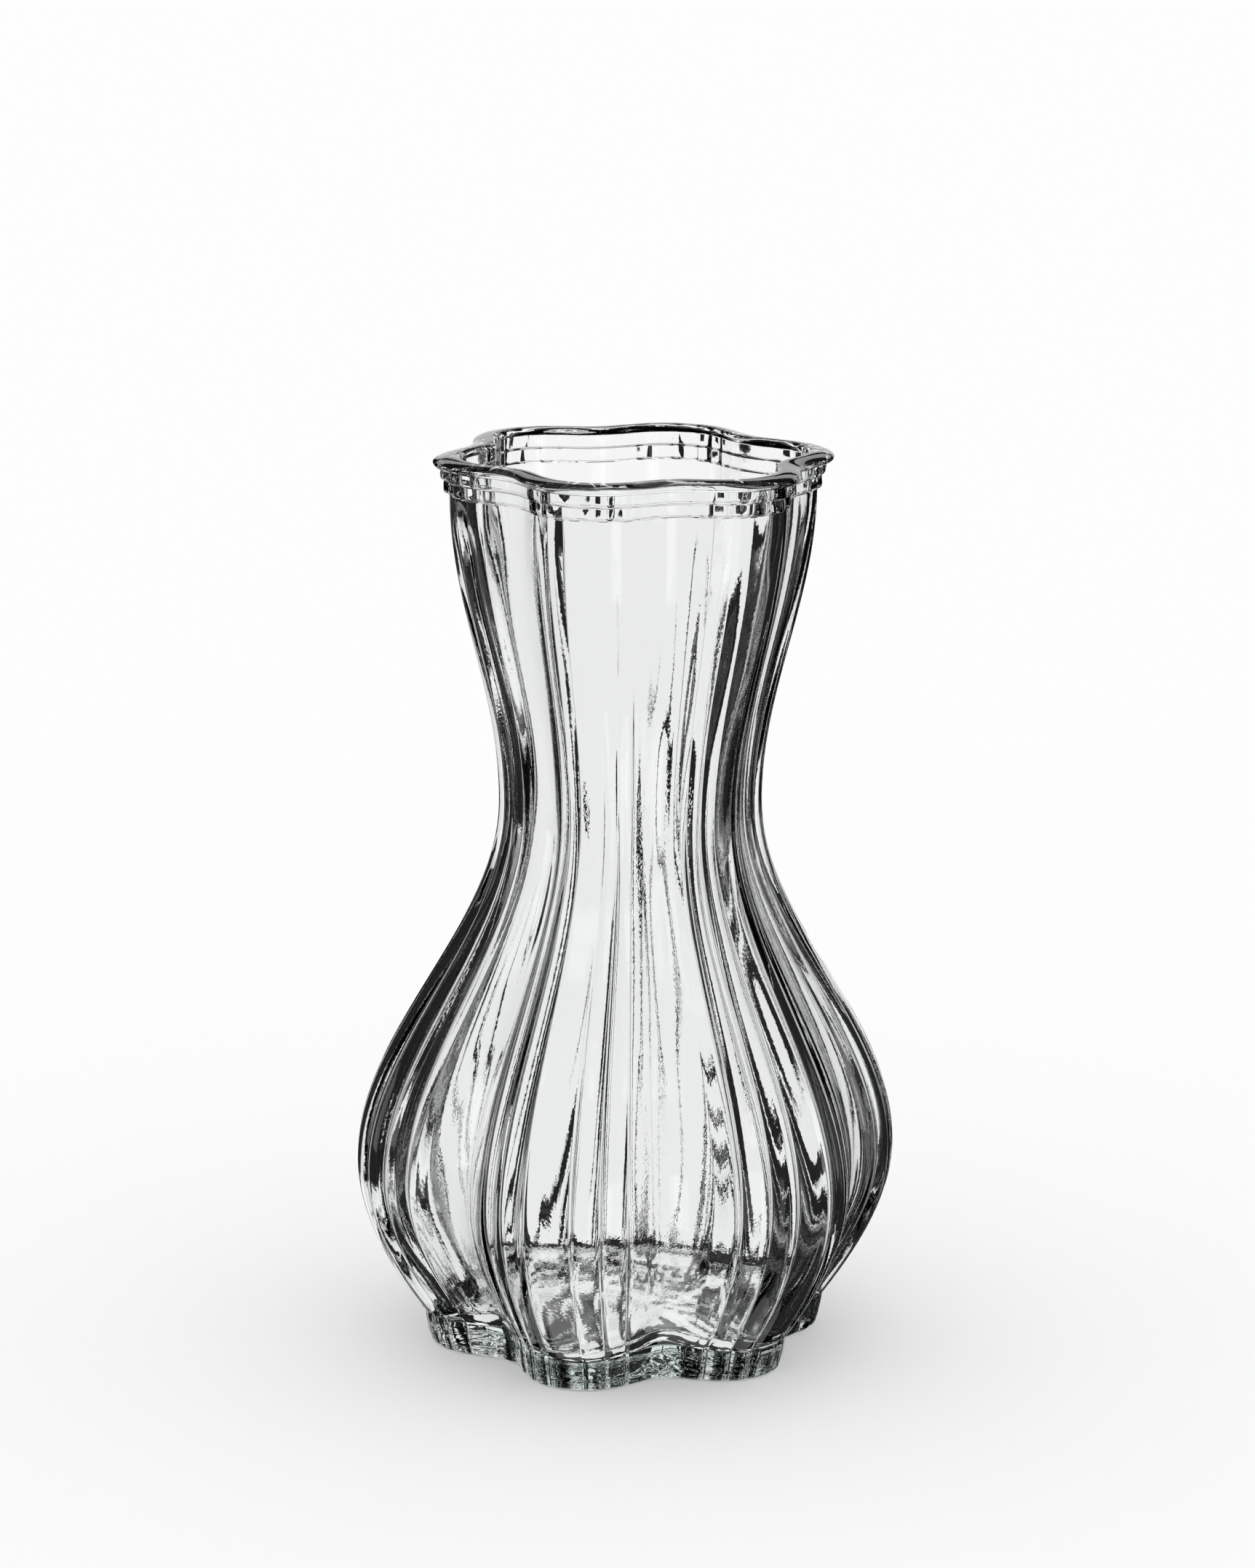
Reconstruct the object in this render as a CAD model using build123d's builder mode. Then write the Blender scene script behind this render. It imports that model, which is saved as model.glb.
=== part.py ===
# A clear glass vase: a round bulb on a solid foot, a drawn-in waist, a flared neck, two narrow
# collars and an out-turned lip. In plan it has soft lobes with a hollow panel between each two,
# and every lobe is reeded from the foot to the collars. The glass is moulded in one piece.
# Its zones are separate solids here, which meet face to face on level planes.

import os
from math import cos, hypot, pi, radians, sin, sqrt

from build123d import *

os.makedirs("parts", exist_ok=True)

# Heights of the zones, from the table up
foot_height = 7.5
heel_height = 12.5
lower_bulb_height = 22.5
upper_bulb_height = 23.5
shoulder_height = 34.0
waist_height = 50.0
neck_height = 41.8
lower_collar_height = 3.0
upper_collar_height = 3.0
lip_thickness = 2.2

# Radii of the outside at the crest of a lobe
foot_base_radius = 44.0
foot_top_radius = 45.5
bulb_radius = 60.5
waist_radius = 29.4
neck_top_radius = 40.7
lower_collar_overhang = 0.8
upper_collar_overhang = 1.7
lip_overhang = 3.6

# Where the waist is narrowest, and how steeply the heel leaves the foot
narrowest_above_shoulder = 23.0
heel_slope = 0.78

# Thickness of the glass: the wall in the middle of a panel, the corner at the floor,
# the push-up under the foot and the melted edges of the lip
panel_wall = 2.9
floor_round = 5.0
push_up_radius = 27.0
push_up_depth = 1.2
lip_round = 1.0

# Plan shape: lobes, deepest at the foot and softer inside than outside, and the reeds on each lobe,
# a wide one on its crest and narrower ones down each side
lobe_count = 6
lobe_ratio = 0.14
foot_lobe_ratio = 0.20
cavity_lobe_ratio = 0.13
lobe_flatness = 1.25
crest_reed_width = radians(10.2)
side_reed_width = radians(5.9)
reeds_per_side = 3
crest_reed_rise = 0.4
side_reed_rise = 0.45
outer_reed_rise = 0.3

# Sections that shape each zone of the wall, and points around a smooth outline
sections_per_zone = 3
points_per_lobe = 6

# Levels, from the table up
heel_level = foot_height + heel_height
widest_level = heel_level + lower_bulb_height
upper_bulb_level = widest_level + upper_bulb_height
shoulder_level = upper_bulb_level + shoulder_height
narrowest_level = shoulder_level + narrowest_above_shoulder
waist_level = shoulder_level + waist_height
neck_level = waist_level + neck_height
lower_collar_level = neck_level + lower_collar_height
upper_collar_level = lower_collar_level + upper_collar_height
wall_levels = [
    foot_height,
    heel_level,
    widest_level,
    upper_bulb_level,
    shoulder_level,
    waist_level,
    neck_level,
]
lobe_period = 2 * pi / lobe_count


def ease(share):
    return (1 - cos(pi * share)) / 2


def crest_radius(level):
    # The outside of the wall, along the crest of a lobe
    if level < widest_level:
        rise = widest_level - foot_height
        share = (level - foot_height) / rise
        swell = (bulb_radius - foot_top_radius) * share**2 * (3 - 2 * share)
        return foot_top_radius + swell + heel_slope * rise * share * (1 - share) ** 2
    if level < narrowest_level:
        share = (level - widest_level) / (narrowest_level - widest_level)
        return bulb_radius + (waist_radius - bulb_radius) * ease(share)
    share = (level - narrowest_level) / (neck_level - narrowest_level)
    return waist_radius + (neck_top_radius - waist_radius) * ease(share)


def outside_lobe_ratio(level):
    # How deep the panels are outside, as a share of the crest's radius
    share = min((level - foot_height) / (widest_level - foot_height), 1)
    return foot_lobe_ratio + (lobe_ratio - foot_lobe_ratio) * ease(share)


def cavity_radius(level):
    # The inside of the wall, along the crest of a lobe: the wall is measured in the panels,
    # square to the glass, and the corner at the floor is a quarter round
    step = 0.01
    slope = (crest_radius(level + step) - crest_radius(level - step)) / (2 * step)
    panel_radius = crest_radius(level) * (1 - outside_lobe_ratio(level)) - panel_wall * hypot(1, slope)
    above_floor = min((level - foot_height) / floor_round, 1)
    corner = floor_round * (1 - sqrt(1 - (1 - above_floor) ** 2))
    return panel_radius / (1 - cavity_lobe_ratio) - corner


def plan_radius(crest, ratio, angle):
    # Full radius on a lobe's crest, falling to the middle of the panel beside it
    dip = ((1 - cos(lobe_count * angle)) / 2) ** lobe_flatness
    return crest * (1 - ratio * dip)


def plan_point(radius, angle):
    return (radius * sin(angle), -radius * cos(angle))


def levels_between(low, high, count):
    return [low + (high - low) * i / count for i in range(1, count + 1)]


def reed_edges(lobe):
    # Angles of the grooves of a lobe, with the near edge of the next lobe at the end
    half = [crest_reed_width / 2 + side_reed_width * i for i in range(reeds_per_side + 1)]
    from_crest = [-angle for angle in reversed(half)] + half + [lobe_period - half[-1]]
    return [lobe * lobe_period + angle for angle in from_crest]


def reed_rises():
    # How far each reed of a lobe stands out, in the order of its grooves, and the plain panel after them
    side = [side_reed_rise] * (reeds_per_side - 1) + [outer_reed_rise]
    return side[::-1] + [crest_reed_rise] + side + [0]


def reeded_outline(crest, ratio):
    # One arc for each reed, and one longer arc for the panel between two lobes
    rise_scale = crest / bulb_radius
    for lobe in range(lobe_count):
        edges = reed_edges(lobe)
        for start, end, rise in zip(edges, edges[1:], reed_rises()):
            middle = (start + end) / 2
            ThreePointArc(
                plan_point(plan_radius(crest, ratio, start), start),
                plan_point(plan_radius(crest, ratio, middle) + rise * rise_scale, middle),
                plan_point(plan_radius(crest, ratio, end), end),
            )


def smooth_outline(crest, ratio):
    count = lobe_count * points_per_lobe
    angles = [2 * pi * i / count for i in range(count)]
    Spline(*[plan_point(plan_radius(crest, ratio, angle), angle) for angle in angles], periodic=True)


def reeded_face(level, crest, ratio):
    with BuildSketch(Plane.XY.offset(level)) as face:
        with BuildLine():
            reeded_outline(crest, ratio)
        make_face()
    return face.sketch


def cavity_face(level):
    with BuildSketch(Plane.XY.offset(level)) as face:
        with BuildLine():
            smooth_outline(cavity_radius(level), cavity_lobe_ratio)
        make_face()
    return face.sketch


# The wall from the top of the foot to the collars: the outside, less the hollow inside it
section_levels = [foot_height]
for low, high in zip(wall_levels, wall_levels[1:]):
    section_levels += levels_between(low, high, sections_per_zone)
corner_level = foot_height + floor_round
cavity_levels = [foot_height] + levels_between(foot_height, corner_level, sections_per_zone)
cavity_levels += [level for level in section_levels if level > corner_level]

with BuildPart() as cavity:
    loft(sections=[cavity_face(level) for level in cavity_levels])

with BuildPart() as glass_wall:
    loft(sections=[reeded_face(z, crest_radius(z), outside_lobe_ratio(z)) for z in section_levels])
    add(cavity.part, mode=Mode.SUBTRACT)


def wall_zone(low, high):
    with BuildPart() as zone:
        add(glass_wall.part)
        if low > foot_height:
            split(bisect_by=Plane.XY.offset(low), keep=Keep.TOP)
        if high < neck_level:
            split(bisect_by=Plane.XY.offset(high), keep=Keep.BOTTOM)
    return zone


heel = wall_zone(foot_height, heel_level)
lower_bulb = wall_zone(heel_level, widest_level)
upper_bulb = wall_zone(widest_level, upper_bulb_level)
shoulder = wall_zone(upper_bulb_level, shoulder_level)
waist = wall_zone(shoulder_level, waist_level)
neck = wall_zone(waist_level, neck_level)

# The solid foot, with a shallow push-up under it so that it stands on its outer ring
with BuildPart() as foot:
    foot_sections = [(0, foot_base_radius), (foot_height, foot_top_radius)]
    loft(sections=[reeded_face(level, radius, foot_lobe_ratio) for level, radius in foot_sections])
    dish_radius = (push_up_radius**2 + push_up_depth**2) / (2 * push_up_depth)
    with Locations((0, 0, push_up_depth - dish_radius)):
        Sphere(dish_radius, mode=Mode.SUBTRACT)


def collar(level, overhang, thickness):
    # A narrow reeded band that reaches a little further out than the neck
    with BuildPart() as band:
        with BuildSketch(Plane.XY.offset(level)):
            with BuildLine():
                reeded_outline(neck_top_radius + overhang, lobe_ratio)
            make_face()
            with BuildLine():
                smooth_outline(cavity_radius(neck_level), cavity_lobe_ratio)
            make_face(mode=Mode.SUBTRACT)
        extrude(amount=thickness)
    return band


lower_collar = collar(neck_level, lower_collar_overhang, lower_collar_height)
upper_collar = collar(lower_collar_level, upper_collar_overhang, upper_collar_height)

# The out-turned lip, smooth all round, with its top edges melted round
with BuildPart() as lip:
    with BuildSketch(Plane.XY.offset(upper_collar_level)):
        with BuildLine():
            smooth_outline(neck_top_radius + lip_overhang, lobe_ratio)
        make_face()
        with BuildLine():
            smooth_outline(cavity_radius(neck_level), cavity_lobe_ratio)
        make_face(mode=Mode.SUBTRACT)
    extrude(amount=lip_thickness)
    fillet(lip.faces().sort_by(Axis.Z)[-1].edges(), radius=lip_round)

zones = {
    "lip": lip,
    "upper_collar": upper_collar,
    "lower_collar": lower_collar,
    "neck": neck,
    "waist": waist,
    "shoulder": shoulder,
    "upper_bulb": upper_bulb,
    "lower_bulb": lower_bulb,
    "heel": heel,
    "foot": foot,
}
for name, zone in zones.items():
    zone.part.label = name
    export_step(zone.part, f"parts/{name}.step")
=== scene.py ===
import math

import bpy
import numpy as np
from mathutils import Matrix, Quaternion, Vector


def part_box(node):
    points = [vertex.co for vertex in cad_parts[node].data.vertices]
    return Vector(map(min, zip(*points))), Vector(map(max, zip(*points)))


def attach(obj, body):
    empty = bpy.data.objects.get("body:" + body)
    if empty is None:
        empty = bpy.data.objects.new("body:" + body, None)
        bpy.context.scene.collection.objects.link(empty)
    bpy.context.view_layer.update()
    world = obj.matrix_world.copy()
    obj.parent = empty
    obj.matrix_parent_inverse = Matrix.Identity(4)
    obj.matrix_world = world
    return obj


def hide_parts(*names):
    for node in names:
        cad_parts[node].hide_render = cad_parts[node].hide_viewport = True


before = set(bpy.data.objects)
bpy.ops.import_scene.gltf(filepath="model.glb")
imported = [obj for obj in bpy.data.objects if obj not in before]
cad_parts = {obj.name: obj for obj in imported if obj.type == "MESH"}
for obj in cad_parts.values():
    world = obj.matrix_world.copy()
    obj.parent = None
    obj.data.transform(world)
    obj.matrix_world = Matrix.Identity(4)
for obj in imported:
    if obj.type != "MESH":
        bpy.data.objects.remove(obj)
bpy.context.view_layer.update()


# Shader wiring: one socket with its operators, and one method for any node
class Wire:
    def __init__(self, tree, socket=None):
        self.tree = tree
        self.socket = socket

    def node(self, kind, settings=None, **values):  # in0, in1 and in2 name a socket by its place
        made = self.tree.nodes.new(kind)
        for name, value in (settings or {}).items():
            setattr(made, name, value)
        for name, value in values.items():
            byPlace = name.startswith("in") and name[2:].isdigit()
            place = made.inputs[int(name[2:]) if byPlace else name.replace("_", " ")]
            if isinstance(value, Wire):
                self.tree.links.new(value.socket, place)
            else:
                place.default_value = value
        return Wire(self.tree, made.outputs[0] if made.outputs else None)

    def out(self, name):
        return Wire(self.tree, self.socket.node.outputs[name])

    def math(self, operation, first, second=0.0):
        return self.node("ShaderNodeMath", {"operation": operation}, in0=first, in1=second)

    def __add__(self, other):
        return self.math("ADD", self, other)

    def __sub__(self, other):
        return self.math("SUBTRACT", self, other)

    def __rsub__(self, other):
        return self.math("SUBTRACT", other, self)

    def __mul__(self, other):
        return self.math("MULTIPLY", self, other)

    def __truediv__(self, other):
        return self.math("DIVIDE", self, other)

    def __rtruediv__(self, other):
        return self.math("DIVIDE", other, self)

    __radd__ = __add__
    __rmul__ = __mul__


# Wall: same sizes as the solids, in metres, with the levels of its zones read from them
wallShape = {
    "footBaseRadius": 0.0440,
    "footTopRadius": 0.0455,
    "bulbRadius": 0.0605,
    "waistRadius": 0.0294,
    "neckTopRadius": 0.0407,
    "narrowestAboveShoulder": 0.023,
    "heelSlope": 0.78,
    "panelWall": 0.0029,
    "floorRound": 0.005,
    "footRings": 4,           # mesh rings up the outside, closer on the bulb than on the neck
    "bulbRings": 55,
    "neckRings": 32,
    "seed": 5,                # of everything uneven in the glass
}
levels = {name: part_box(name)[1].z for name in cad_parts}
footTop = levels["foot"]
widest = levels["lower_bulb"]
narrowest = levels["shoulder"] + wallShape["narrowestAboveShoulder"]
neckTop = levels["neck"]
height = levels["lip"]
dice = np.random.default_rng(wallShape["seed"])


def ease(share):
    return (1 - math.cos(math.pi * share)) / 2


def spaced(start, end, count):  # even steps, without the start
    return np.linspace(start, end, count + 1)[1:]


def arcSteps(count):  # sine and cosine over a quarter turn, without the start
    for turn in spaced(0, math.pi / 2, count):
        yield math.sin(turn), math.cos(turn)


def crestRadius(level):  # outside of the wall on a lobe's crest
    s = wallShape
    if level < footTop:
        return s["footBaseRadius"] + (s["footTopRadius"] - s["footBaseRadius"]) * level / footTop
    if level < widest:
        rise = widest - footTop
        share = (level - footTop) / rise
        swell = (s["bulbRadius"] - s["footTopRadius"]) * share**2 * (3 - 2 * share)
        return s["footTopRadius"] + swell + s["heelSlope"] * rise * share * (1 - share) ** 2
    if level < narrowest:
        share = (level - widest) / (narrowest - widest)
        return s["bulbRadius"] + (s["waistRadius"] - s["bulbRadius"]) * ease(share)
    share = min((level - narrowest) / (neckTop - narrowest), 1)
    return s["waistRadius"] + (s["neckTopRadius"] - s["waistRadius"]) * ease(share)


# Lobes: how deep the panels between them are, as a share of the crest's radius
lobePlan = {
    "lobes": 6,
    "flatness": 1.25,
    "foot": 0.20,
    "wall": 0.14,             # outside, from the widest level up
    "floorInside": 0.16,
    "bulbInside": 0.125,
    "neckInside": 0.14,
    "mouthInside": 0.155,
    "mouthChange": (0.012, 0.003),  # neck's to mouth's, between these depths under the collars
}


def outsideLobeRatio(level):  # deepest at the foot
    p = lobePlan
    share = min(max(level - footTop, 0) / (widest - footTop), 1)
    return p["foot"] + (p["wall"] - p["foot"]) * ease(share)


def cavityLobeRatio(level):  # softest where the bulb is widest
    p = lobePlan
    ratios = [p["floorInside"], p["bulbInside"], p["neckInside"], p["neckInside"], p["mouthInside"]]
    span = [footTop, widest, narrowest] + [neckTop - under for under in p["mouthChange"]]
    return float(np.interp(level, span, ratios))


def cavityRadius(level):  # inside of the wall on a lobe's crest
    s = wallShape
    level = min(level, neckTop)
    step = 1e-5
    slope = (crestRadius(level + step) - crestRadius(max(level, footTop + step) - step)) / (2 * step)
    panel = crestRadius(level) * (1 - outsideLobeRatio(level)) - s["panelWall"] * math.hypot(1, slope)
    above = min((level - footTop) / s["floorRound"], 1)
    corner = s["floorRound"] * (1 - math.sqrt(max(1 - (1 - above) ** 2, 0)))
    return panel / (1 - cavityLobeRatio(level)) - corner


# Reeds on each lobe: a wide one on its crest and narrower ones down each side
reedShape = {
    "crestWidth": math.radians(10.2),
    "sideWidth": math.radians(5.9),
    "perSide": 3,
    "crestCrown": 0.0003,     # how far a reed stands out of the lobe on the bulb
    "sideCrown": 0.0003,
    "outerCrown": 0.0002,     # the two reeds beside a panel
    "neckCrownShare": 0.4,    # how much of its crown a reed keeps up the neck
    "groove": (0.0002, 0.0007),  # shallowest and deepest groove between two reeds
    "grooveFade": 0.5,        # how much a groove comes and goes up the wall
    "grooveFadeLength": (0.09, 0.2),
    "bulbSharpness": 3.5,     # flat reeds with narrow grooves
    "neckSharpness": 2.0,     # round reeds
    # how strongly they show: at the foot's base and top, on the bulb, at the narrowest level,
    # at the top of the waist, where the fade starts and at the collars
    "amounts": (0.8, 0.9, 1.0, 0.5, 0.4, 0.4, 0.1),
    "topFade": 0.02,          # they fade over this height under the collars
    "insideShare": 0.12,      # how much of a reed shows inside
    "columns": 9,             # mesh columns on each reed
    "crowding": 0.7,          # how much closer together these are at the grooves
    "panelColumns": 7,
}


def reedEdges():  # angles of one lobe's grooves from its crest
    r = reedShape
    half = [r["crestWidth"] / 2 + r["sideWidth"] * i for i in range(r["perSide"] + 1)]
    return [-angle for angle in reversed(half)] + half


def columnAngles():  # with each column's place across its reed, and its lobe and reed
    r = reedShape
    period = 2 * math.pi / lobePlan["lobes"]
    edges = reedEdges()
    angles, reedShare, reedIndex = [], [], []
    for lobe in range(lobePlan["lobes"]):
        for reed, (start, end) in enumerate(zip(edges, edges[1:])):
            for k in range(r["columns"]):
                even = k / r["columns"]
                share = even + (ease(even) - even) * r["crowding"]
                angles.append(lobe * period + start + (end - start) * share)
                reedShare.append(share)
                reedIndex.append((lobe, reed))
        panelWidth = period + edges[0] - edges[-1]
        for k in range(r["panelColumns"]):
            angles.append(lobe * period + edges[-1] + panelWidth * k / r["panelColumns"])
            reedShare.append(0)
            reedIndex.append((lobe, -1))
    return np.array(angles), np.array(reedShare), np.array(reedIndex)


angles, reedShare, reedIndex = columnAngles()
lobeDip = ((1 - np.cos(lobePlan["lobes"] * angles)) / 2) ** lobePlan["flatness"]


def reedProfiles():  # crown of each reed, and the depth of the groove at each of its edges
    r = reedShape
    side = [r["sideCrown"]] * (r["perSide"] - 1) + [r["outerCrown"]]
    crowns = np.array(side[::-1] + [r["crestCrown"]] + side)
    shallow, deep = r["groove"]
    grooves = shallow + (deep - shallow) * dice.uniform(0, 1, (lobePlan["lobes"], len(crowns) + 1)) ** 2
    grooves[:, 0] = grooves[:, -1] = 0  # level with the panel
    lengths = dice.uniform(*r["grooveFadeLength"], grooves.shape)
    phases = dice.uniform(0, 2 * math.pi, grooves.shape)
    lobe, reed = reedIndex[:, 0], reedIndex[:, 1]
    onReed = reed >= 0
    edge = np.where(reedShare < 0.5, reed, reed + 1)
    aside = np.abs(2 * reedShare - 1)  # 0 on the crown, 1 in the groove

    def offset(level):
        fade = 1 + r["grooveFade"] * np.sin(2 * math.pi * level / lengths + phases)
        depth = (grooves * fade)[lobe, edge]
        sharp = np.interp(level, [widest, narrowest], [r["bulbSharpness"], r["neckSharpness"]])
        share = np.interp(level, [widest, narrowest], [1, r["neckCrownShare"]])
        away = aside**sharp
        return np.where(onReed, crowns[reed] * share * (1 - away) - depth * away, 0)

    return offset


reedOffset = reedProfiles()


def reedAmount(level):  # full on the bulb, fading up the neck
    fadeStart = neckTop - reedShape["topFade"]
    span = [0, footTop, levels["upper_bulb"], narrowest, levels["waist"], fadeStart, neckTop]
    return float(np.interp(level, span, reedShape["amounts"]))


def ring(level, crest, ratio, reeds=0.0, ripple=None, lift=0.0):
    radius = crest * (1 - ratio * lobeDip) + reeds * reedOffset(level)
    if ripple is not None:
        radius = radius + ripple(level)
    heights = level + lift + np.zeros_like(angles)
    return np.stack([radius * np.sin(angles), -radius * np.cos(angles), heights], axis=1)


# Slow ripples that the mould left in the wall, outside and inside
waviness = {
    "waves": 14,
    "outsideDepth": 0.00002,
    "cavityDepth": 0.00004,
    "ordersAround": (7, 46),
    "lengthUp": (0.05, 0.16),
}


def waveField(depth, ordersAround, lengthUp):  # a sum of waves around the vase and up it
    count = waviness["waves"]
    orders = dice.integers(*ordersAround, count)
    lengths = dice.uniform(*lengthUp, count)
    phases = dice.uniform(0, 2 * math.pi, (count, 2))
    share = depth * math.sqrt(2 / count)

    def ripple(level):
        around = np.cos(orders[:, None] * angles[None, :] + phases[:, :1])
        up = np.cos(2 * math.pi * level / lengths + phases[:, 1])
        return 2 * share * (around * up[:, None]).sum(axis=0)

    return ripple


outsideRipple = waveField(waviness["outsideDepth"], waviness["ordersAround"], waviness["lengthUp"])
cavityRipple = waveField(waviness["cavityDepth"], waviness["ordersAround"], waviness["lengthUp"])


# Underside: a shallow push-up, then the ring that the vase stands on and its rounded edge
undersideShape = {
    "pushUpRadius": 0.027,
    "pushUpDepth": 0.0012,
    "pushUpLobes": 0.7,       # how much of the foot's lobes is left at the push-up's edge
    "edgeRound": 0.0011,
    "stipple": 0.0005,        # height of the uneven glass
    "stippleLength": (0.003, 0.006),
    "stippleWaves": 24,
    "stippleMiddle": 0.5,     # its usual height and how far it spreads from there, as shares
    "stippleSpread": 0.35,
    "ringStipple": 0.4,       # how much of it is left on the ring that the vase stands on
    "pushUpRings": 8,
    "standingRings": 11,
    "edgeRings": 4,
}


def stippleField():  # small uneven waves, the same in every direction
    u = undersideShape
    count = u["stippleWaves"]
    turns = dice.uniform(0, 2 * math.pi, count)
    waves = 2 * math.pi / dice.uniform(*u["stippleLength"], count)
    phases = dice.uniform(0, 2 * math.pi, count)

    def roughen(points, share=1.0):
        across = points[:, :1] * np.cos(turns) + points[:, 1:2] * np.sin(turns)
        uneven = np.cos(across * waves + phases).sum(axis=1) / math.sqrt(count)
        rise = np.clip(u["stippleMiddle"] + u["stippleSpread"] * uneven, 0, 1)
        points[:, 2] += share * u["stipple"] * rise
        return points

    return roughen


stippled = stippleField()


def undersideRings():
    u, lobes = undersideShape, lobePlan["foot"]
    footEdge = wallShape["footBaseRadius"] - u["edgeRound"]
    innerLobes = lobes * u["pushUpLobes"]
    rings = []
    for share in spaced(0, 1, u["pushUpRings"]):
        level = u["pushUpDepth"] * (1 - share**2)
        rings.append(stippled(ring(level, u["pushUpRadius"] * share, innerLobes * share**2)))
    for share in spaced(0, 1, u["standingRings"]):
        radius = u["pushUpRadius"] + (footEdge - u["pushUpRadius"]) * share
        flat = ring(0, radius, innerLobes + (lobes - innerLobes) * share, reedAmount(0) * share)
        rings.append(stippled(flat, u["ringStipple"]) if share < 1 else flat)
    for sine, cosine in arcSteps(u["edgeRings"]):
        level = u["edgeRound"] * (1 - cosine)
        rings.append(ring(level, footEdge + u["edgeRound"] * sine, lobes, reedAmount(0)))
    return rings


# Collars: two narrow bands, each a step out from what is under it
collarShape = {
    "lowerOverhang": 0.0008,
    "upperOverhang": 0.0017,
    "round": 0.0012,
    "lowerReeds": 0.8,        # how strongly the reeds show on each collar
    "upperReeds": 0.5,
    "step": 0.0002,           # the glass is straight up to this far under each collar's step
    "waveDepth": 0.00018,
    "waveOrders": (24, 70),
    "waveLength": (0.012, 0.03),
    "dripDepth": 0.0002,      # the lower collar sags in places
    "dripOrders": (40, 90),
    "edgeRings": 4,
    "sideRings": 2,
}
collarWaves = waveField(collarShape["waveDepth"], collarShape["waveOrders"], collarShape["waveLength"])
dripWaves = waveField(collarShape["dripDepth"], collarShape["dripOrders"], collarShape["waveLength"])


def collarRipple(level):  # uneven on the lobes, plain between them
    return collarWaves(level) * (1 - lobeDip)


def collarRings():
    c, lobes = collarShape, lobePlan["wall"]
    lowerTop, upperTop = levels["lower_collar"], levels["upper_collar"]
    drips = np.clip(dripWaves(neckTop) - c["dripDepth"], 0, None) * (1 - lobeDip)  # only on the lobes
    bands = [
        (neckTop, lowerTop, c["lowerOverhang"], c["lowerReeds"], drips),
        (lowerTop, upperTop, c["upperOverhang"], c["upperReeds"], 0),
    ]
    rings = []
    for low, high, overhang, reeds, sag in bands:
        radius = wallShape["neckTopRadius"] + overhang
        for sine, cosine in arcSteps(c["edgeRings"]):
            level, inward = low + c["round"] * (1 - cosine), c["round"] * (1 - sine)
            rings.append(ring(level, radius - inward, lobes, reeds, collarRipple, -sag * sine * cosine))
        straight = spaced(low + c["round"], high - c["step"], c["sideRings"])
        rings += [ring(level, radius, lobes, reeds, collarRipple) for level in (*straight, high)]
    return rings


def outsideRings():  # from the foot's edge up to the collars
    s = wallShape
    shoulder, underCollar = levels["shoulder"], neckTop - collarShape["step"]
    levelsUp = [*spaced(undersideShape["edgeRound"], footTop, s["footRings"])]
    levelsUp += [*spaced(footTop, shoulder, s["bulbRings"])]
    levelsUp += [*spaced(shoulder, underCollar, s["neckRings"]), neckTop]
    return [
        ring(level, crestRadius(level), outsideLobeRatio(level), reedAmount(level), outsideRipple)
        for level in levelsUp
    ]


# Lip: out-turned, with a rounded nose and a domed top that rises to the mouth
lipShape = {
    "overhang": 0.0036,
    "nose": 0.0009,           # from the lip's underside up to its outermost point
    "innerRound": 0.0014,
    "underRings": (0.4, 1.0),  # where these lie, from the collar out to the nose
    "noseRings": 4,
    "topRings": 9,
    "innerRings": 5,
}


def lipRings():
    s = lipShape
    lobes, mouthLobes = lobePlan["wall"], cavityLobeRatio(neckTop)
    nose, inner = s["nose"], s["innerRound"]
    low, high = levels["upper_collar"], height
    under = wallShape["neckTopRadius"] + collarShape["upperOverhang"]
    lipRadius = wallShape["neckTopRadius"] + s["overhang"]
    mouth = cavityRadius(neckTop)
    rings = []
    for share in s["underRings"]:
        radius = under + (lipRadius - nose - under) * share
        rings.append(ring(low, radius, lobes, collarShape["upperReeds"] * (1 - share)))
    for sine, cosine in arcSteps(s["noseRings"]):
        rings.append(ring(low + nose * (1 - cosine), lipRadius - nose * (1 - sine), lobes))
    tip, crown = low + nose, mouth + inner
    for sine, cosine in arcSteps(s["topRings"]):
        radius = crown + (lipRadius - crown) * cosine
        rings.append(ring(tip + (high - tip) * sine, radius, mouthLobes + (lobes - mouthLobes) * cosine))
    for sine, cosine in arcSteps(s["innerRings"]):
        rings.append(ring(high - inner * (1 - cosine), mouth + inner * (1 - sine), mouthLobes))
    return rings


# Hollow: down the inside of the wall, round the corner and in to the middle of the floor
hollowShape = {
    "floorWave": 0.0035,      # the floor's edge is lower in the lobes than at the panels
    "floorWaveHeight": 0.016,
    "neckRings": 26,
    "bulbRings": 39,
    "cornerRings": 7,
    "floorRings": (0.93, 0.85, 0.75, 0.62, 0.48, 0.34, 0.2, 0.08),  # shares of the floor's radius
}


def cavityRings():
    h = hollowShape
    corner = footTop + wallShape["floorRound"]
    levelsDown = [*spaced(height - lipShape["innerRound"], levels["shoulder"], h["neckRings"])]
    levelsDown += [*spaced(levels["shoulder"], corner, h["bulbRings"])]
    levelsDown += [corner - wallShape["floorRound"] * sine for sine, cosine in arcSteps(h["cornerRings"])]
    wave = h["floorWave"] * (lobeDip - lobeDip.mean())
    rings = []
    for level in levelsDown:
        fade = max(1 - (level - footTop) / h["floorWaveHeight"], 0) ** 2
        reeds = reedAmount(level) * reedShape["insideShare"]
        ratio = cavityLobeRatio(level)
        rings.append(ring(level, cavityRadius(level), ratio, reeds, cavityRipple, wave * fade))
    floorEdge, ratio = cavityRadius(footTop), cavityLobeRatio(footTop)
    for share in h["floorRings"]:
        rings.append(ring(footTop, floorEdge * share, ratio * share, lift=wave * share**3))
    return rings


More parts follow.
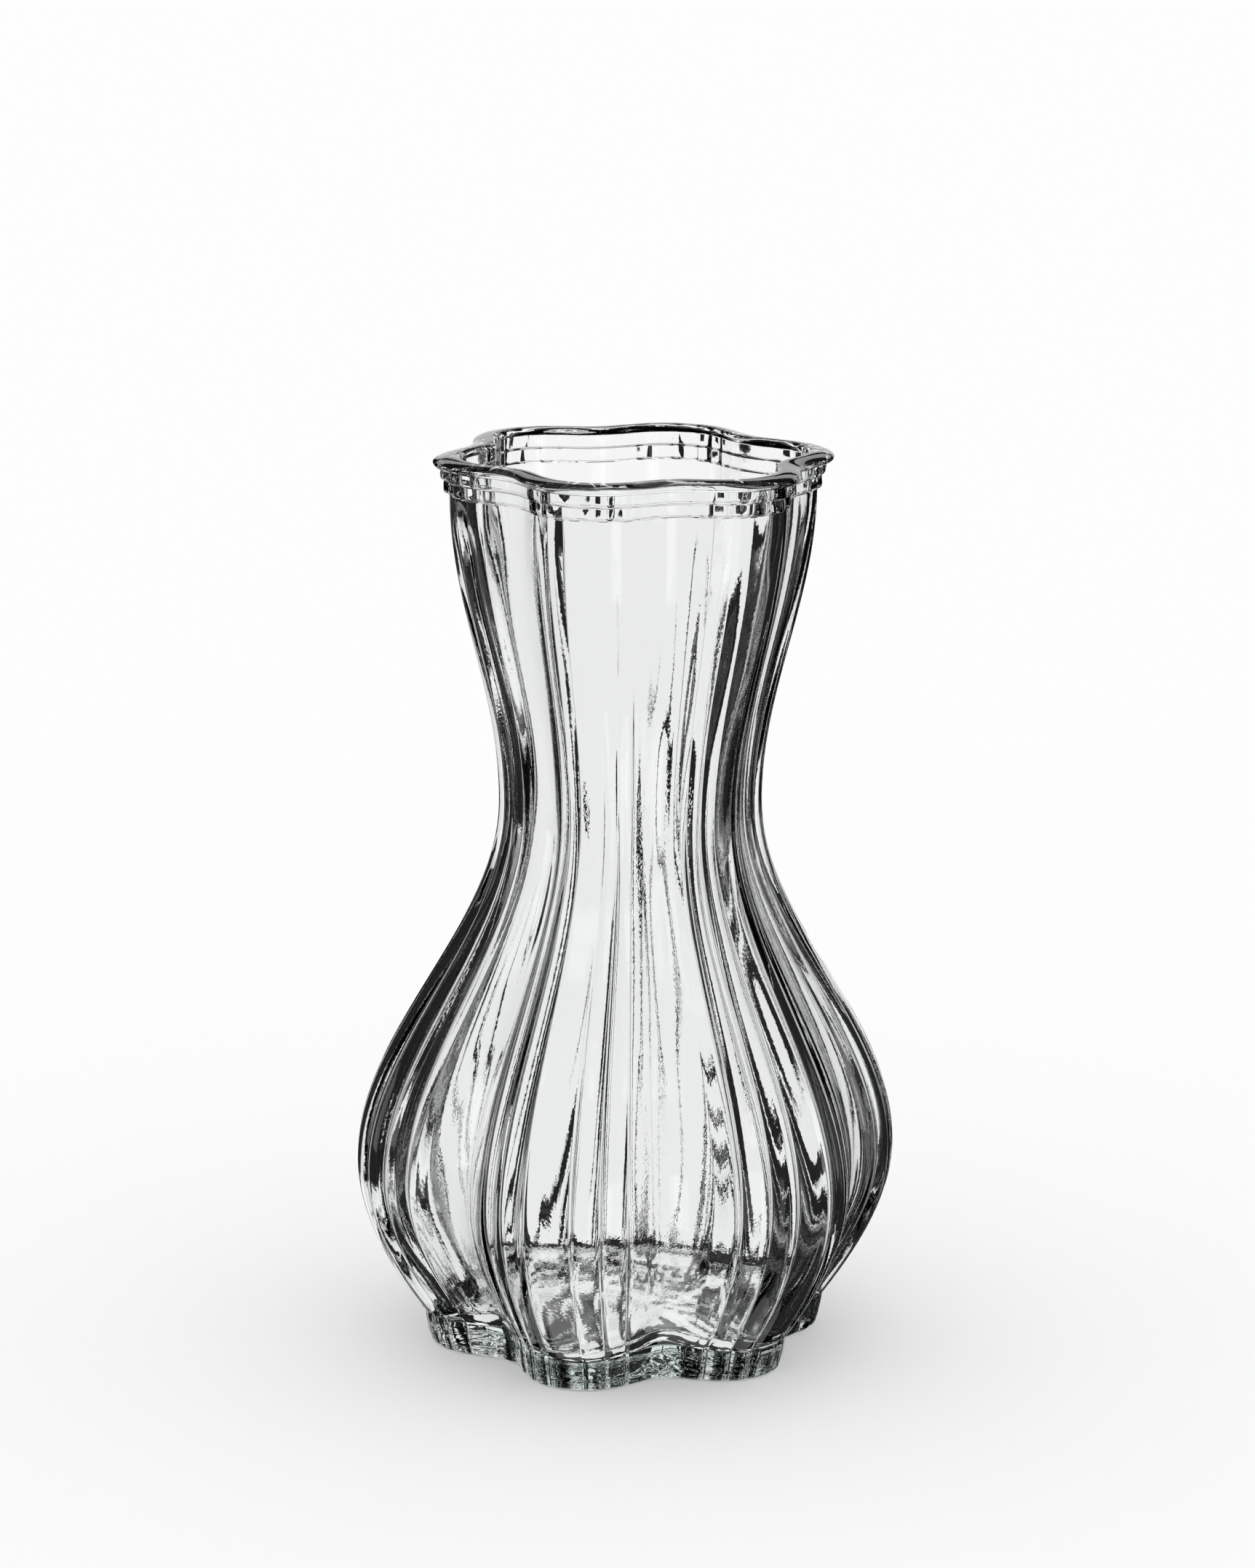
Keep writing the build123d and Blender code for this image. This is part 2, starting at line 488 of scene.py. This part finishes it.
def buildGlass():  # one closed skin, from the middle of the underside to the middle of the floor
    rings = undersideRings() + outsideRings() + collarRings() + lipRings() + cavityRings()
    count = len(angles)
    middles = np.array([[0, 0, undersideShape["pushUpDepth"]], [0, 0, footTop]])
    points = np.concatenate(rings + [middles])
    faces = []
    for row in range(len(rings) - 1):
        base = row * count
        for column in range(count):
            across = (column + 1) % count
            faces.append((base + column, base + across, base + count + across, base + count + column))
    underCentre, floorCentre = len(points) - 2, len(points) - 1
    lastRow = (len(rings) - 1) * count
    for column in range(count):
        across = (column + 1) % count
        faces.append((underCentre, across, column))
        faces.append((lastRow + column, lastRow + across, floorCentre))
    mesh = bpy.data.meshes.new("vaseGlass")
    mesh.from_pydata(points.tolist(), [], faces)
    mesh.shade_smooth()
    mesh.update()
    glass = bpy.data.objects.new("vaseGlass", mesh)
    bpy.context.scene.collection.objects.link(glass)
    return glass


# Clear glass with a faint grey-green where it is thick
glassFinish = {
    "ior": 1.52,
    "tint": (0.997, 1.0, 0.998),
    "absorbColour": (0.50, 0.70, 0.60),
    "absorbDensity": 7.0,
    # each noise has a scale and a detail
    "peelNoise": (1300.0, 2.0),  # fine speckle
    "peelDepth": (0.000004, 0.000014),  # least and most of it
    "patchNoise": (45.0, 1.0),  # where there is more of it
    "patchRange": (0.4, 0.65),  # values that give the least and the most
    "underside": 0.0018,      # slightly frosted up to this height under the foot
    "undersideRoughness": (0.0, 0.04),
    "frostNoise": (260.0, 3.0),
    "footHeight": 0.008,      # the foot's side is uneven up to here
    "footNoise": (260.0, 0.0),
    "footDepth": 0.0002,
}


def clearGlass():
    g = glassFinish
    material = bpy.data.materials.new("clearGlass")
    material.use_nodes = True
    material.node_tree.nodes.clear()
    w = Wire(material.node_tree)
    place = w.node("ShaderNodeTexCoord").out("Object")
    up = w.node("ShaderNodeSeparateXYZ", Vector=place).out("Z")

    def noise(scale, detail):
        return w.node("ShaderNodeTexNoise", Vector=place, Scale=scale, Detail=detail)

    patchy = w.node(
        "ShaderNodeMapRange",
        Value=noise(*g["patchNoise"]),
        From_Min=g["patchRange"][0],
        From_Max=g["patchRange"][1],
        To_Min=g["peelDepth"][0],
        To_Max=g["peelDepth"][1],
    )
    onFoot = w.math("LESS_THAN", up, g["footHeight"])
    relief = noise(*g["peelNoise"]) * patchy + noise(*g["footNoise"]) * onFoot * g["footDepth"]
    surface = w.node("ShaderNodeBump", Strength=1.0, Distance=1.0, Height=relief)
    low, high = g["undersideRoughness"]
    underside = w.math("LESS_THAN", up, g["underside"])
    shader = w.node(
        "ShaderNodeBsdfPrincipled",
        Base_Color=(*g["tint"], 1),
        Roughness=underside * (noise(*g["frostNoise"]) * (high - low) + low),
        IOR=g["ior"],
        Transmission_Weight=1.0,
        Normal=surface,
    )
    absorbed = (*g["absorbColour"], 1)
    depth = w.node("ShaderNodeVolumeAbsorption", Color=absorbed, Density=g["absorbDensity"])
    w.node("ShaderNodeOutputMaterial", Surface=shader, Volume=depth)
    return material


glass = buildGlass()
glass.data.materials.append(clearGlass())
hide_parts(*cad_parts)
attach(glass, "root")
print("glass:", len(glass.data.vertices), "points,", len(glass.data.polygons), "faces")


# Studio: pale floor and white all round. The glass shows white panels with dark between them.
studio = {
    "floorRadius": 6.0,
    "floorCorners": 96,
    "floorGap": 0.0002,       # just under the foot
    "floorShade": 0.985,
    "dark": 0.015,
    "edge": 0.8,              # softness of a panel's edge, in degrees
    # white panels: azimuth of the middle, half the width, lowest and highest edge, in degrees
    "panels": [
        (196.5, 11, -48, 12),
        (196.5, 40, 15, 24),
        (180, 9, -10.3, 12),
        (225, 9, -40, -19),
        (270, 10, -9, 12),
        (123, 8, -9, 12),
        (45, 9, -30, 2),
    ],
    "overhead": [(25, 0.05), (60, 0.6)],  # from this elevation up, this bright
    "below": [(-66, 0.85)],   # from this elevation down, this bright
}


def paleFloor():
    material = bpy.data.materials.new("paleFloor")
    material.use_nodes = True
    material.node_tree.nodes.clear()
    w = Wire(material.node_tree)
    shade = studio["floorShade"]
    pale = w.node("ShaderNodeBsdfDiffuse", Color=(shade, shade, shade, 1))
    w.node("ShaderNodeOutputMaterial", Surface=pale)
    return material


def buildFloor():  # the glass shows the studio's panels, not the floor
    corners, radius = studio["floorCorners"], studio["floorRadius"]
    bpy.ops.mesh.primitive_circle_add(vertices=corners, radius=radius, fill_type="NGON")
    floor = bpy.context.object
    floor.name = "studioFloor"
    floor.location.z = -studio["floorGap"]
    floor.data.materials.append(paleFloor())
    floor.visible_transmission = False
    floor.visible_glossy = False


def buildWorld():
    world = bpy.data.worlds.new("studioWorld")
    world.use_nodes = True
    world.node_tree.nodes.clear()
    bpy.context.scene.world = world
    w = Wire(world.node_tree)
    direction = w.node("ShaderNodeTexCoord").out("Generated")
    parts = w.node("ShaderNodeSeparateXYZ", Vector=direction)
    degrees = 180 / math.pi
    azimuth = w.math("ARCTAN2", parts.out("X"), parts.out("Y") * -1) * degrees
    elevation = w.math("ARCSINE", parts.out("Z")) * degrees

    def above(value, limit):  # 1 above the limit and 0 below it, soft over a panel's edge
        return w.node("ShaderNodeClamp", Value=(value - limit) / studio["edge"] + 0.5)

    shown = studio["dark"]
    for centre, half, low, high in studio["panels"]:
        wrap = {"operation": "WRAP"}
        turned = w.node("ShaderNodeMath", wrap, in0=azimuth - centre, in1=180.0, in2=-180.0)
        sideways = above(half, w.math("ABSOLUTE", turned))
        panel = sideways * above(elevation, low) * above(high, elevation)
        shown = w.math("MAXIMUM", shown, panel)
    for low, shade in studio["overhead"]:
        shown = w.math("MAXIMUM", shown, above(elevation, low) * shade)
    for high, shade in studio["below"]:
        shown = w.math("MAXIMUM", shown, above(high, elevation) * shade)
    path = w.node("ShaderNodeLightPath")
    throughGlass = w.math("MAXIMUM", path.out("Is Transmission Ray"), path.out("Is Glossy Ray"))
    fromFloor = w.math("GREATER_THAN", path.out("Diffuse Depth"), 0.5)  # keeps the floor's shadow light
    throughGlass = throughGlass * (1 - path.out("Is Camera Ray")) * (1 - fromFloor)
    brightness = 1 - throughGlass * (1 - shown)
    white = w.node("ShaderNodeBackground", Color=(1, 1, 1, 1), Strength=brightness)
    w.node("ShaderNodeOutputWorld", Surface=white)


buildFloor()
buildWorld()
print("studio ready")


# Camera at the photograph's view. Pixels are of the 1725 x 2156 picture.
photo = {
    "size": (1725, 2156),
    "focalPixels": 7454,
    "distance": 1.2,
    "azimuth": math.radians(16.5),
    "elevation": math.radians(14.53),
    "roll": math.radians(0.66),
    "middlePixel": (865.3, 1235.1),  # where the middle of the vase's axis falls
    "clip": (0.01, 50),       # nearest and farthest that the camera sees
}


def buildCamera():
    c = photo
    camera = bpy.data.objects.new("photoCamera", bpy.data.cameras.new("photoCamera"))
    bpy.context.scene.collection.objects.link(camera)
    a, e = c["azimuth"], c["elevation"]
    back = Vector((math.sin(a) * math.cos(e), -math.cos(a) * math.cos(e), math.sin(e)))
    camera.data.lens = c["focalPixels"] / max(c["size"]) * camera.data.sensor_width
    camera.data.clip_start, camera.data.clip_end = c["clip"]
    right = c["middlePixel"][0] - c["size"][0] / 2
    below = c["middlePixel"][1] - c["size"][1] / 2
    turn = (-back).to_track_quat("-Z", "Y") @ Quaternion((0, 0, 1), c["roll"])
    turn = turn @ Quaternion((1, 0, 0), math.atan(below / c["focalPixels"]))
    turn = turn @ Quaternion((0, 1, 0), math.atan(right / c["focalPixels"]))
    camera.rotation_mode = "QUATERNION"
    camera.rotation_quaternion = turn
    camera.location = Vector((0, 0, height / 2)) + back * c["distance"]
    bpy.context.scene.camera = camera


buildCamera()
bpy.context.scene.view_settings.view_transform = "Standard"
print("camera ready")
